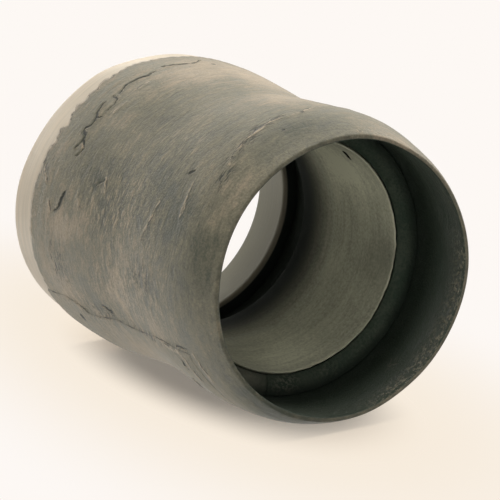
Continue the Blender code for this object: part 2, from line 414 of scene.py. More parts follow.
MAIN_CRACKS = [CHAIN, LONG_CRACK, TOP_CRACK, HOOK, SMALL_CRACK, WAIST_CRACK, BACK_CRACK, SIDE_CRACK]
MAIN_CRACKS += SLITS
BRANCHES = [CHAIN_BRANCH, FLAP]
print(f"{len(MAIN_CRACKS)} cracks, {len(BRANCHES)} branches, {len(FLAKES)} flakes, {len(PITS)} small holes")

# %% [markdown]
# ## Relief of the body
#
# The lapped turn, the cracks and the lips that stand up beside them are all under a millimetre high, and the
# torn edge only moves the last rows along the axis. They could be sculpted on a dense mesh, but a formula
# for the radius is short and can be changed at any time. Each function below gives one effect, and the last
# one lays out the rows of the grid.

# %% Relief of the body
# In metres: the spacing of rows, and the sizes of the relief
ROW = 0.00092
SOCKET_ROW = 0.0024
HIDDEN_ROW = 0.0050
CORNER_ROUND = 0.0005
EDGE_ZONE = 0.030
EDGE_TEAR = 0.0009
RING_RISE = 0.0006
SWELL_HEIGHT = 0.00022
GROOVE_HEIGHT = 0.00003
LIP_WAVE = 0.00035
LIP_WAVE_REACH = 0.010
SMOOTH_LIP = 0.004
LAP_STEP = 0.0007
LAP_FRONT, LAP_REAR = (0.018, 0.030), (0.166, 0.146)
CRACK_DEPTH = 0.00045
LIFTED_LIP = 0.00035
FLAKE_RISE = 0.00020
RIDGE_RISE = 0.00022
# Angles between which the lapped turn lies, and over which it grows from nothing
LAP_FROM, LAP_TO = math.radians(100), math.radians(165)
LAP_FALL = math.radians(32)
# In mm on the unrolled sheet: widths and reaches beside a line
SEAM_SLOPE, SEAM_FADE, SEAM_REACH = 0.45, 9.0, 2.5
CRACK_HALF_WIDTH = 0.55
CRACK_FADE = 2.5
CRACK_REACH = 1.5
PIT_REACH = 0.8
LIP_REACH = 1.6
# Further than this, in mm, a crack or the edge has no effect
FAR = 50.0
# The lip rises over this many mm beside the crack, and where the crack is at least this close
LIP_FOOT, LIP_CLOSE = (0.1, 0.7), (0.05, 0.5)
# Soft bumps and dips of the outline: size in mm, height, angle in degrees, and reach in mm and degrees
BUMPS = [(1.9, 122, 124, 28, 13), (1.5, 172, -113, 26, 15), (-0.9, 72, -66, 34, 20),
         (-0.6, 168, -154, 20, 14), (-1.2, 11, -56, 10, 20), (0.5, 100, 30, 25, 20), (-0.5, 60, 60, 20, 18)]
# The same for the front mouth, outside and inside together
MOUTH_WARP = [(0.7, 0, 2, 14, 30), (-0.7, 0, 62, 12, 14), (-0.5, 0, -60, 12, 14)]
# Where the wrap's rear edge is smooth and not torn
SMOOTH_EDGE = [(0.85, 0, 174, 1, 24)]


# %% Soft spots, sag and the torn edge
def spots(places, height, angle):
    """Sum of soft spots, each a bell curve both ways: amount, height in mm, angle in degrees, and its
    reach in mm and degrees."""
    total = np.zeros(np.broadcast(height, angle).shape)
    for amount, middle, facing, reach, spread in places:
        turned = np.degrees((angle - math.radians(facing) + math.pi) % TURN - math.pi)
        total = total + amount * np.exp(-((height / MM - middle) / reach) ** 2 - (turned / spread) ** 2)
    return total


def sag(height, angle):
    """Slow change of the outside's radius: the soft bumps and a swell."""
    uneven = SWELL_HEIGHT * swell(angle, height, seed=11, crests=7, length=0.05)
    return uneven + MM * spots(BUMPS, height, angle)


def ragged(angle):
    """How torn the rear edge is: 1, and less where it is smooth."""
    return 1 - spots(SMOOTH_EDGE, 0, angle)


def torn_edge(angle):
    """Height of the wrap's torn rear edge: the drawn line, with finer tears added all round."""
    drawn = np.interp(np.degrees(angle), *zip(*sorted(TORN_EDGE)), period=360) * MM
    return drawn + EDGE_TEAR * ragged(angle) * swell(angle, 0, seed=31, crests=110, length=1.0)


# %% The lapped turn and the cracks
def lap_step(height, angle):
    """Thickness of the lapped turn: a step at the seam that falls slowly to nothing towards LAP_FROM."""
    offset = line_distance(LAP_SEAM, height, angle, SEAM_FADE)[0]
    turned = angle % TURN
    fall = smoothstep(LAP_FROM, LAP_FROM + LAP_FALL, turned) * (turned < LAP_TO)
    ends = smoothstep(*LAP_FRONT, height) * smoothstep(*LAP_REAR, height)
    return LAP_STEP * smoothstep(-SEAM_SLOPE, SEAM_SLOPE, offset) * fall * ends


def open_cracks(lines, height, angle):
    """Signed distance to the nearest of several cracks, in mm, and how close it is: 1 on the crack,
    fading out within about CRACK_REACH mm and at the crack's ends."""
    nearest = np.full(np.broadcast(height, angle).shape, FAR)
    close = np.zeros(nearest.shape)
    for line in lines:
        offset, weight = line_distance(line, height, angle, CRACK_FADE)
        nearest = np.where(np.abs(offset) < np.abs(nearest), offset, nearest)
        close = np.maximum(close, weight * np.exp(-(offset / CRACK_REACH) ** 2))
    return nearest, close


def open_pits(offset, close, height, angle):
    """The cracks' distances with the small holes added: how far each point lies outside the nearest
    hole."""
    for middle, facing, radius in PITS:
        u, v = unrolled(height, angle, math.radians(facing))
        outside = np.maximum(np.hypot(u - middle, v) - radius, 0)
        offset = np.where(outside < np.abs(offset), outside, offset)
        close = np.maximum(close, np.exp(-(outside / PIT_REACH) ** 2))
    return offset, close


def crack_relief(offset, close):
    """A narrow groove on the crack, and a lip that rises on its positive side and sinks back after
    LIP_REACH."""
    groove = -CRACK_DEPTH * np.exp(-(offset / CRACK_HALF_WIDTH) ** 2)
    lip = LIFTED_LIP * np.exp(-np.abs(offset) / LIP_REACH) * smoothstep(*LIP_FOOT, offset)
    return close * groove + smoothstep(*LIP_CLOSE, close) * lip


# %% Rows of the body
def body_outline():
    """The body's section with close rows outside, a smooth socket wall and wider rows elsewhere inside,
    and for each row whether it lies outside."""
    lip = int(np.argmax(BODY[:, 1] < 1e-6))
    flare = lip + 1
    while BODY[flare + 1, 0] > BODY[flare, 0] + 1e-6:
        flare += 1
    rising, socket = BODY[:lip + 1][::-1], BODY[lip + 1:flare + 1]
    heights = np.linspace(BODY[0, 1], 0, math.ceil(BODY[0, 1] / ROW))
    outer = np.stack([smooth_through(rising[:, 1], rising[:, 0], heights), heights], axis=1)
    heights = np.linspace(0, socket[-1, 1], math.ceil(socket[-1, 1] / SOCKET_ROW) + 1)
    wall = np.stack([smooth_through(socket[:, 1], socket[:, 0], heights), heights], axis=1)
    rest = filled(BODY[flare:], HIDDEN_ROW, closed=False)[1:]
    rows = rounded(np.concatenate([outer, wall, rest]), CORNER_ROUND, points=3)
    outside = np.zeros(len(rows), bool)
    outside[:int(np.argmin(rows[:, 1])) + 2] = True
    return rows, outside


# %% [markdown]
# ## Where the body is dusty, clean or rough, and where light is painted
#
# Handled rubber is never evenly dusty. An image could say where the dust lies, but a list of soft spots
# needs none: each spot is a bell curve on the unrolled body, and their sum is painted on the mesh for the
# material to read. A few of the dust spots also paint a highlight on the top and shade next to the floor.

# %% Spots of dust and painted light, contrast and wear
# Each spot: amount, height in mm, angle in degrees, and reach in mm and degrees. Dust is pale, and less than
# nothing is clean, darker rubber. The pale spots on the top, between about -97 and -66 degrees, are dust and
# a painted highlight, and the two dark spots at the front rim, at 116 and 130 degrees, are painted shade
# next to the floor. However many spots meet, the sum levels off at the limit below.
DUST_AND_PAINTED_LIGHT = [(0.34, 117, -97, 17, 12), (0.46, 54, -86, 18, 12), (-0.14, 45, -118, 18, 8),
        (-0.30, 9, -105, 8, 14), (-0.24, 108, -154, 14, 8), (-0.17, 60, -150, 16, 9),
        (-0.24, 30, -170, 15, 14), (-0.20, 20, 172, 8, 14), (0.15, 105, -174, 16, 6),
        (0.34, 122, -178, 8, 6), (0.24, 78, 162, 9, 6), (0.24, 51, 158, 9, 6), (0.15, 92, 146, 14, 8),
        (0.14, 70, -177, 10, 6), (0.14, 6, -148, 6, 8), (0.16, 108, -133, 12, 6), (0.14, 139, -152, 6, 6),
        (-0.16, 45, -150, 18, 10), (-0.40, 3, 130, 9, 22), (-0.15, 98, 151, 8, 4), (0.16, 90, 20, 26, 30),
        (-0.16, 50, 70, 20, 24), (-0.14, 30, -20, 14, 30), (-0.12, 57, 175, 8, 6), (-0.12, 105, 154, 7, 5),
        (0.18, 136, 154, 10, 8), (-0.14, 9, -165, 8, 10), (-0.12, 15, 151, 8, 7), (-0.15, 68, -163, 24, 9),
        (-0.14, 30, -160, 14, 9), (-0.13, 21, -152, 9, 7), (-0.10, 64, -140, 16, 9),
        (-0.08, 77, -121, 20, 12), (-0.09, 42, -121, 12, 12), (0.16, 8, -139, 5, 8), (0.12, 140, 166, 8, 9),
        (0.34, 116, -92, 14, 10), (0.25, 2, -65, 6, 14), (-0.12, 92, -124, 22, 10), (0.26, 128, 158, 14, 9),
        (0.34, 84, 132, 34, 12), (-0.14, 40, 172, 24, 6), (-0.30, 8, -168, 7, 14),
        (-0.14, 40, -154, 16, 10), (0.16, 84, 172, 14, 6), (-0.08, 20, -100, 8, 14),
        (0.60, 116, -77, 26, 8), (0.22, 136, -88, 8, 6), (-0.18, 85, -152, 12, 7), (-0.12, 56, -133, 12, 8),
        (-0.14, 12, -112, 6, 12), (-0.10, 9, -130, 6, 10), (-0.40, 2, 116, 7, 16), (0.14, 74, 166, 10, 6),
        (0.55, 112, -66, 26, 9), (-0.10, 8, -139, 6, 8)]
MOST_TONE = 0.6
# How much stronger the patterns are than usual
CONTRAST = [(0.6, 85, -165, 30, 16), (0.8, 55, -155, 30, 18), (1.3, 62, 168, 36, 13),
            (0.6, 105, 150, 30, 12), (0.3, 30, -170, 16, 20)]
# Small dark dashes, pale fibres, dark speckle, and scuffs inside the lip
DASHES = [(1.2, 15, -137, 2.6, 5), (1.2, 20, -124, 2.6, 7), (1.2, 25, -108, 2.6, 9),
          (1.0, 104, 151, 10, 2.6), (0.9, 60, 151.5, 24, 1.8), (0.9, 48, 178, 10, 5), (0.7, 124, 167, 6, 6),
          (0.8, 146, -160, 5, 6), (1.0, 131, 168, 2.5, 9)]
FIBRES = [(1.0, 84, -163, 26, 14), (0.6, 56, 178, 22, 14), (0.5, 60, -128, 30, 14), (0.4, 60, 40, 40, 40)]
SPECKLE = [(1.3, 54, 177, 13, 7), (0.9, 124, 166, 6, 8), (0.6, 90, 170, 12, 8), (0.5, 60, 0, 20, 20),
           (0.8, 100, 153, 12, 5)]
LIP_SCUFFS = [(1.4, 3, 0, 5, 10), (1.6, 3, 20, 5, 12), (1.6, 3, 42, 5, 13), (1.5, 3, 64, 4.5, 11),
              (0.7, 20, 52, 3, 3), (0.5, 3, -30, 3, 8), (0.6, 4, 200, 4, 20)]
print(f"spots: {len(DUST_AND_PAINTED_LIGHT)} of dust, {len(DASHES)} of dashes, {len(SPECKLE)} of speckle")

# %% [markdown]
# ## Building the body
#
# The rows are spread over all angles, moved by the relief and joined by the mesh builder. The material
# also has to know how far each point lies from a crack or the torn edge. Coordinates alone can't tell it,
# so those distances are painted on the points.


# %% Build the body's grid
def wrapped_body(material):
    """The body's skin: heights follow the torn edge, and the outside's radius carries all the relief."""
    rows, outside = body_outline()
    radius, height = rows[:, :1], rows[:, 1:]
    angle = ANGLES[None, :]
    outside = outside[:, None]
    under_wrap = ~outside & (height >= BODY[-2, 1] - CORNER_ROUND)
    under_wrap = under_wrap & (radius > BODY[-2, 0] - 2 * CORNER_ROUND)
    start = np.where(outside, BODY[0, 1] - EDGE_ZONE, BODY[-2, 1])
    share = np.clip((height - start) / (BODY[0, 1] - start), 0, 1) * (outside | under_wrap)
    height = height + share * (torn_edge(angle) - BODY[0, 1])
    radius = radius + (outside | under_wrap) * (oval(radius, height, angle) + sag(height, angle))
    radius = radius + under_wrap * RING_RISE * share
    lip = np.exp(-height / LIP_WAVE_REACH) * LIP_WAVE * swell(angle, 0, seed=5, crests=5, length=1.0)
    radius = radius + lip + MM * spots(MOUTH_WARP, height, angle)
    main, main_close = open_cracks(MAIN_CRACKS, height, angle)
    branch, branch_close = open_cracks(BRANCHES, height, angle)
    flake, flake_close = open_cracks(FLAKES, height, angle)
    ridge, ridge_close = open_cracks([FRONT_RIDGE], height, angle)
    grooves = GROOVE_HEIGHT * swell(angle, height, seed=21, crests=6, length=0.0035, waves=40)
    relief = lap_step(height, angle) + crack_relief(main, main_close) + crack_relief(branch, branch_close)
    relief = relief + grooves + FLAKE_RISE * flake_close + RIDGE_RISE * ridge_close
    radius = radius + outside * relief * smoothstep(0.0, SMOOTH_LIP, height)
    piece = skin("wrapped_body", radius, height, angle, material)
    seam, seam_weight = line_distance(LAP_SEAM, height, angle, SEAM_FADE)
    main, main_close = open_pits(main, main_close, height, angle)
    everywhere = np.ones(radius.shape)
    # The tone is dust and clean rubber, with a painted highlight on the top and painted shade at the front
    # rim beside the floor
    marks = {
        "bore": ~outside * everywhere, "ragged": ragged(angle) * everywhere,
        "crack": main, "crack_close": main_close * outside,
        "branch": branch, "branch_close": branch_close * outside,
        "seam": seam, "seam_close": seam_weight * np.exp(-(seam / SEAM_REACH) ** 2) * outside,
        "flake": flake, "flake_close": flake_close * outside,
        "ridge": ridge, "ridge_close": ridge_close * outside,
        "edge_gap": (torn_edge(angle) - height) / MM + FAR * ~outside,
        "tone": 0.5 + MOST_TONE * np.tanh(spots(DUST_AND_PAINTED_LIGHT, height, angle) / MOST_TONE),
        "contrast": 1.0 + spots(CONTRAST, height, angle),
        "dash": spots(DASHES, height, angle) * outside,
        "scuff": spots(LIP_SCUFFS, height, angle) * ~outside,
        "fibre": spots(FIBRES, height, angle), "speckle": spots(SPECKLE, height, angle)}
    for name, values in marks.items():
        paint(piece, name, values)
    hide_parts("rubber_body")
    return piece


# %% [markdown]
# ## The liner, the stop band and the end ring
#
# The liner is a thin tube, cut at its front edge with a knife, so that edge wanders a little, and its
# bore has a small tear. The stop band is a strip laid round in front of it. Its end laps over its start,
# which leaves a low step across its face. The end ring is a moulded piece, much smoother than the wrap:
# outside it follows the body's oval, and its bore stays round. All three are turned sections too, so the
# same tools make them.

# %% Build the liner's grid
FINE_ROW = 0.0009
SLEEVE_EDGE_WAVE = 0.00035
SLEEVE_SWELL = 0.00012
SLEEVE_ROUND = 0.0003
EDGE_REACH, RIM_REACH = 0.004, 0.0006
# The small tear: its line, then its depth in metres, and its width and fade in mm
TEAR_LINE = [(54.1, -42.9), (52.6, -47.5), (50.8, -52.6)]
TEAR_DEPTH = 0.0006
TEAR_WIDTH, TEAR_FADE = 0.8, 2.0
LINER_TONE = 0.58
LINER_DUST = [(0.60, 70, -34, 20, 18), (0.34, 60, 84, 20, 18), (-0.24, 48, 12, 18, 20),
              (0.15, 60, 180, 20, 40)]


def liner(material):
    """The liner's skin: its front edge wanders along the axis, and its bore swells a little."""
    radius, height, angle = turned_grid(SLEEVE, SLEEVE_ROUND, FINE_ROW)
    front = SLEEVE[:, 1].min()
    near_edge = np.exp(-((height - front) / EDGE_REACH) ** 2)
    inner = smoothstep(SLEEVE[0, 0], SLEEVE[-1, 0], radius)
    tear, tear_weight = line_distance(TEAR_LINE, height, angle, TEAR_FADE)
    dent = TEAR_DEPTH * tear_weight * np.exp(-(tear / TEAR_WIDTH) ** 2)
    slow, fine = (swell(angle, 0, seed, crests, 1.0) for seed, crests in ((7, 9), (8, 70)))
    wander = SLEEVE_EDGE_WAVE * (slow + 0.5 * fine)
    uneven = SLEEVE_SWELL * swell(angle, height, seed=9, crests=8, length=0.03)
    radius = radius + inner * (uneven + dent)
    piece = skin("liner", radius, height + near_edge * wander, angle, material)
    paint(piece, "crack", tear)
    paint(piece, "crack_close", tear_weight * np.exp(-(tear / CRACK_REACH) ** 2) * inner)
    paint(piece, "tone", LINER_TONE + spots(LINER_DUST, height, angle))
    # Painted highlight along the liner's front edge
    paint(piece, "edge_light_and_shade", np.exp(-((height - front) / RIM_REACH) ** 2) + 0 * angle)
    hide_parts("inner_sleeve")
    return piece


# %% Build the stop band's grid
BAND_ROW = 0.0006
BAND_ROUND = 0.0004
BAND_SWELL = 0.00018
LAP_ANGLE = math.radians(105.2)
BAND_STEP = 0.0011
BAND_STEP_LENGTH = math.radians(26)
STEP_SLOPE = 0.008
FACE_FROM, FACE_TO = 0.002, 0.003
# Radii in metres over which painted shade blackens the band against the body's wall, and how black it gets
BAND_CREASE = (0.0524, 0.0572)
CREASE_SHADE = 0.9
# Spots, as on the body: worn grain, and a smooth pale stretch past the lap
BAND_ROUGH = [(0.75, 36, 96, 5, 8), (0.35, 36, 75, 6, 9), (0.3, 36, 200, 8, 30)]
BAND_SMOOTH = [(0.90, 36, 117, 8, 9)]


def stop_band(material):
    """The band's skin: a rounded nose, and a lapped end that rises slowly along the turn and drops in one
    step."""
    radius, height, angle = turned_grid(BAND, BAND_ROUND, BAND_ROW)
    past = (angle - LAP_ANGLE) % TURN
    drop = smoothstep(-STEP_SLOPE, STEP_SLOPE, np.sin(angle - LAP_ANGLE))
    rise = smoothstep(BAND_STEP_LENGTH, 0, past) * drop
    front = smoothstep(BAND[:, 1].max() - FACE_FROM, BAND[:, 1].min() + FACE_TO, height)
    uneven = BAND_SWELL * swell(angle, height, seed=13, crests=26, length=0.006)
    piece = skin("stop_band", radius, height - front * (BAND_STEP * rise + uneven), angle, material)
    paint(piece, "rough", spots(BAND_ROUGH, height, angle))
    paint(piece, "crease", CREASE_SHADE * smoothstep(*BAND_CREASE, radius) + 0 * angle)
    paint(piece, "smooth", spots(BAND_SMOOTH, height, angle) * (past < math.pi))
    turned = (angle - LAP_ANGLE + math.pi) % TURN - math.pi
    paint(piece, "lap", BAND[:, 0].max() / MM * turned + 0 * height)
    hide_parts("shoulder_band")
    return piece


# %% Build the end ring's grid
RING_ROUND = 0.0007
RING_SWELL = 0.00010
RING_EXPOSED = 0.004
RING_SEAT = 0.0005
# Heights and radii in metres between which the nose turns from a painted highlight on its edge to painted
# shade on its front face, which looks into the recess
RING_NOSE = (0.1412, 0.1424)
RING_NOSE_RADIUS = (0.0551, 0.0557)
RING_SHADE_HEIGHT = (0.1416, 0.1410)
# How strong the painted highlight on the nose's edge is
NOSE_HIGHLIGHT = 0.4


def end_ring(material):
    """The ring's skin: its outside shares the body's oval and sag, and its bore stays round."""
    radius, height, angle = turned_grid(RING, RING_ROUND, FINE_ROW)
    outer = smoothstep(RING[-1, 0], RING[0, 0], radius)
    exposed = smoothstep(RING[4, 1], RING[4, 1] + RING_EXPOSED, height)
    moved = oval(RING[3, 0], height, angle) + sag(height, angle) + RING_RISE * exposed
    moved = moved + RING_SWELL * swell(angle, height, seed=17, crests=9, length=0.02)
    free = (height > RING[4, 1] + RING_SEAT) | (radius > RING[4, 0] - RING_SEAT)
    piece = skin("end_ring", radius + outer * moved * free, height, angle, material)
    # The nose's edge gets a painted highlight, kept in the outer mask with the dust, and the face that looks
    # into the recess gets painted shade
    nose = smoothstep(RING_NOSE[1], RING_NOSE[0], height) * smoothstep(*RING_NOSE_RADIUS[::-1], radius)
    paint(piece, "outer", np.maximum(outer, NOSE_HIGHLIGHT * nose) + 0 * angle)
    painted_shade = smoothstep(*RING_SHADE_HEIGHT, height) * smoothstep(*RING_NOSE_RADIUS, radius)
    paint(piece, "painted_shade", painted_shade + 0 * angle)
    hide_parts("rear_ring")
    return piece


# %% [markdown]
# ## Node helpers
#
# Materials are built from small nodes. One helper adds a node, sets its properties and inputs, and links
# what is given as a socket, so that a recipe reads from top to bottom. The others wrap the nodes that
# come back most: products, smooth steps, blends of two colours, colour ramps, and sums of patterns. A sum
# takes each pattern from its middle value of a half, so that a weight changes the contrast and not the
# mean.


# %% Add a node
def node(tree, kind, inputs=None, **properties):
    """A new node of that kind. An input given as a socket is linked, and any other value is set."""
    made = tree.nodes.new("ShaderNode" + kind)
    for key, value in properties.items():
        setattr(made, key, value)
    for key, value in (inputs or {}).items():
        if isinstance(value, bpy.types.NodeSocket):
            tree.links.new(value, made.inputs[key])
        else:
            made.inputs[key].default_value = value
    return made


def maths(tree, operation, *values):
    """The result of one Math node."""
    return node(tree, "Math", dict(enumerate(values)), operation=operation).outputs[0]


def times(tree, a, b):
    """The product a x b."""
    return maths(tree, "MULTIPLY", a, b)


def most(tree, value, *others):
    """The greatest of several values."""
    for other in others:
        value = maths(tree, "MAXIMUM", value, other)
    return value


def clamped(tree, value):
    """The value, kept between 0 and 1."""
    return node(tree, "Clamp", {0: value}).outputs[0]


def ramp(tree, value, low, high, to_low=0.0, to_high=1.0):
    """A smooth step of value from low to high, given as to_low to to_high."""
    inputs = {"Value": value, "From Min": low, "From Max": high, "To Min": to_low, "To Max": to_high}
    return node(tree, "MapRange", inputs, interpolation_type="SMOOTHSTEP").outputs[0]


def summed(tree, start, weighted):
    """start plus each weight x (pattern - 0.5)."""
    total = start
    for pattern, weight in weighted:
        centred = maths(tree, "SUBTRACT", pattern, 0.5)
        total = maths(tree, "MULTIPLY_ADD", centred, weight, total)
    return total


# %% Colours and materials
def blended(tree, factor, first, second):
    """Colour between first at factor 0 and second at factor 1. A colour is a socket or three numbers."""
    first, second = ((*c, 1) if isinstance(c, tuple) else c for c in (first, second))
    return node(tree, "Mix", {0: factor, 6: first, 7: second}, data_type="RGBA").outputs[2]


def shades(tree, value, stops):
    """Colour ramp through stops of (position, colour)."""
    made = node(tree, "ValToRGB", {0: value})
    elements = made.color_ramp.elements
    while len(elements) < len(stops):
        elements.new(0.5)
    for element, (position, colour) in zip(elements, stops):
        element.position = position
        element.color = (*colour, 1)
    return made.outputs[0]


def painted(tree, name):
    """A number painted on the mesh."""
    return node(tree, "Attribute", attribute_name=name).outputs["Fac"]


def new_material(name):
    """A material whose tree holds only its output and the coordinates of the object, in metres."""
    material = bpy.data.materials.new(name)
    material.use_nodes = True
    tree = material.node_tree
    tree.nodes.clear()
    return material, tree, node(tree, "OutputMaterial"), node(tree, "TexCoord").outputs["Object"]


# %% [markdown]
# ## Effects that several rubbers share
#
# Three effects come back in more than one material, so each is a node group. Brushing leaves fine streaks
# that run round the axis: a noise squeezed along Z does that on any turned surface. Mottling is the same
# noise left round. A fracture is a thin line where a painted signed distance passes zero, made ragged by
# a little noise.


# %% Shared node groups
def new_group(name, vectors, numbers, result):
    """An empty node group with those inputs: its tree, its input sockets and the socket of its one
    result."""
    tree = bpy.data.node_groups.new(name, "ShaderNodeTree")
    for kind, labels in (("NodeSocketVector", vectors), ("NodeSocketFloat", numbers)):
        for label in labels:
            tree.interface.new_socket(label, in_out="INPUT", socket_type=kind)
    tree.interface.new_socket(result, in_out="OUTPUT", socket_type="NodeSocketFloat")
    return tree, tree.nodes.new("NodeGroupInput").outputs, tree.nodes.new("NodeGroupOutput").inputs[0]


def noise(tree, place, scale, detail, roughness=0.5):
    """Soft random values around a half, with that many waves to the metre."""
    inputs = {"Vector": place, "Scale": scale, "Detail": detail, "Roughness": roughness}
    return node(tree, "TexNoise", inputs).outputs[0]


def brushed_group():
    """Streaks round the axis: noise in coordinates divided by Length across and by Width along the axis,
    after the height has wandered a little."""
    tree, given, result = new_group("brushed_streaks", ["Vector"], ["Length", "Width", "Wander"], "Streaks")
    x, y, z = node(tree, "SeparateXYZ", {0: given["Vector"]}).outputs
    slow = noise(tree, given["Vector"], 70.0, 2.0)
    height = maths(tree, "MULTIPLY_ADD", maths(tree, "SUBTRACT", slow, 0.5), given["Wander"], z)
    x, y = (maths(tree, "DIVIDE", across, given["Length"]) for across in (x, y))
    z = maths(tree, "DIVIDE", height, given["Width"])
    stretched = node(tree, "CombineXYZ", {0: x, 1: y, 2: z}).outputs[0]
    tree.links.new(ramp(tree, noise(tree, stretched, 1.0, 4.0, 0.55), 0.25, 0.75), result)
    return tree


def mottled_group():
    """Round patches of about Size: noise whose middle range is stretched by Contrast."""
    numbers = ["Size", "Detail", "Contrast"]
    tree, given, result = new_group("mottling", ["Vector", "Shift"], numbers, "Patches")
    moved = node(tree, "VectorMath", {0: given["Vector"], 1: given["Shift"]}, operation="ADD").outputs[0]
    cloudy = noise(tree, moved, maths(tree, "DIVIDE", 1.0, given["Size"]), given["Detail"], 0.6)
    wide = maths(tree, "MULTIPLY_ADD", maths(tree, "SUBTRACT", cloudy, 0.5), given["Contrast"], 0.5)
    tree.links.new(clamped(tree, wide), result)
    return tree


def fracture_group():
    """A thin line: 1 where the offset, moved by noise of up to Wander, is within Width of zero, times
    Close. A slower noise narrows and widens it."""
    numbers = ["Offset", "Close", "Width", "Wander", "Grain"]
    tree, given, result = new_group("fracture", ["Vector"], numbers, "Line")
    scale = maths(tree, "DIVIDE", 1.0, given["Grain"])
    ragged_by = maths(tree, "SUBTRACT", noise(tree, given["Vector"], scale, 3.0), 0.5)
    moved = maths(tree, "MULTIPLY_ADD", ragged_by, given["Wander"], given["Offset"])
    swelling = noise(tree, given["Vector"], times(tree, scale, 0.35), 2.0)
    width = times(tree, given["Width"], ramp(tree, swelling, 0.35, 0.65, 0.35, 1.7))
    away = maths(tree, "DIVIDE", maths(tree, "ABSOLUTE", moved), width)
    line = times(tree, ramp(tree, away, 0.6, 1.4, 1.0, 0.0), ramp(tree, given["Close"], 0.15, 0.5))
    tree.links.new(line, result)
    return tree


BRUSHED, MOTTLED, FRACTURE = brushed_group(), mottled_group(), fracture_group()
print("shared groups:", [group.name for group in bpy.data.node_groups])


# %% Use a shared group
def brushed(tree, place, length, width, wander=0.002):
    """Streaks of that length and width in metres, which wander up and down by that much."""
    inputs = {"Vector": place, "Length": length, "Width": width, "Wander": wander}
    return node(tree, "Group", inputs, node_tree=BRUSHED).outputs[0]


def mottled(tree, place, size, detail, contrast=1.8, shift=(0.0, 0.0, 0.0)):
    """Patches of that size in metres. A shift gives another pattern of the same kind."""
    inputs = {"Vector": place, "Size": size, "Detail": detail, "Contrast": contrast, "Shift": shift}
    return node(tree, "Group", inputs, node_tree=MOTTLED).outputs[0]


def fracture(tree, place, offset, close, width, wander, grain=0.0024):
    """A ragged line where the offset passes zero, as strong as close. Width and wander are in the
    offset's mm."""
    inputs = {"Vector": place, "Offset": offset, "Close": close, "Width": width}
    inputs.update({"Wander": wander, "Grain": grain})
    return node(tree, "Group", inputs, node_tree=FRACTURE).outputs[0]


def crack_line(tree, place, name, width, wander, shift=0.0):
    """The ragged line of a painted crack, moved sideways by shift mm."""
    offset = maths(tree, "SUBTRACT", painted(tree, name), shift)
    return fracture(tree, place, offset, painted(tree, name + "_close"), width, wander)


# %% Finish a rubber
def finish(tree, output, colour, rough, height, specular):
    """A Principled shader with a bump of that height in mm, joined to the output."""
    bump = node(tree, "Bump", {"Strength": 1.0, "Distance": MM, "Height": height}).outputs[0]
    inputs = {"Base Color": colour, "Roughness": rough, "Specular IOR Level": specular, "Normal": bump}
    tree.links.new(node(tree, "BsdfPrincipled", inputs).outputs[0], output.inputs[0])


# %% [markdown]
# ## Wrapped rubber
#
# Vulcanised wrap has the dull grey-olive of rubber that has bloomed and been handled. Patches of dusty
# bloom lie over darker rubber, short pale scuffs follow the turn of the wrap, and the cracks are nearly
# black. Their lifted lips are pale with bits of crumbled rubber and a painted highlight, and painted shadows
# lie round the cracks and beside the flakes, the ridge and the torn edge. The bore side is clean and much
# darker, and painted shade turns it black further into the socket and in the recess.
#
# Such a surface could be painted by hand on an image. A recipe of nodes needs no unwrapping and stays
# sharp from close by, so this one adds five noise patterns to the painted dust, and a colour ramp turns
# the sum into rubber or dust. Marks are laid over it, then the cracks, then the bare strip past the
# torn edge, and last the bore side, which has none of these. The small holes are finer than the mesh, so
# they have colour and bump only.

# %% Tones and lines of the wrapped rubber
DARK_RUBBER = (0.035, 0.042, 0.028)
OLIVE_RUBBER = (0.138, 0.133, 0.095)
DUSTY_RUBBER = (0.298, 0.254, 0.190)
PALE_DUST = (0.400, 0.335, 0.255)
# Pale scuffs and fibres, and also the painted highlight on the cracks' lifted lips
PALE_SCUFF_AND_HIGHLIGHT = (0.42, 0.35, 0.26)
# Cracks and dark joints, and also painted shade in the socket, the recess, the band's groove and the ring's
# front face, and painted shadows beside the marks
CRACK_AND_SHADE_BLACK = (0.005, 0.009, 0.006)
BORE_RUBBER = (0.023, 0.037, 0.026)
SCUFFED_BORE = (0.240, 0.228, 0.170)
# The ring's pale outside where it shows past the torn edge: dust and a painted sheen, as on the ring
BARE_RING = (0.40, 0.345, 0.275)
TONES = [(0.0, DARK_RUBBER), (0.4, OLIVE_RUBBER), (0.76, DUSTY_RUBBER), (1.0, PALE_DUST)]
TONE_SCALE = 0.8
# Heights in metres between which painted shade turns the socket black, and beyond which the recess loses its
# sheen
SOCKET_SHADE_FROM, SOCKET_SHADE_TO = 0.016, 0.032
RECESS_FROM, RECESS_TO = 0.090, 0.110
# The torn edge in mm: how long its teeth are, and how far they stand back from the wrap's end
TOOTH_LENGTH, SET_BACK = 2.2, 1.1
# Each broken line: painted name, then width, wander and sideways shift in mm, then the pattern that breaks
# it up and the range in which it does
# Three of these lines are painted shadow: beside the flakes, beside the ridge and round the cracks. The line
# on the cracks' lifted lips is pale crumbled rubber and a painted highlight together.
LINES = {
    "flake": ("flake", 0.62, 3.6, 0.0, "fibres", (0.3, 0.6, 0.25, 0.9)),
    "under": ("flake", 0.40, 3.6, -1.0, "patches", (0.4, 0.6)),
    "ridge": ("ridge", 0.50, 2.2, 0.0, "patches", (0.4, 0.6)),
    "shade": ("ridge", 0.30, 2.4, -0.9, "patches", (0.5, 0.65)),
    "crumbs_and_highlight": ("crack", 0.34, 0.9, 0.85, "grain", (0.4, 0.8)),
    "crack_shade": ("crack", 1.30, 2.6, -0.6, "patches", (0.3, 0.6)),
    "seam": ("seam", 0.17, 0.8, 0.0, "patches", (0.35, 0.65, 0.2, 0.9))}
print(f"{len(TONES)} tones and {len(LINES)} broken lines")


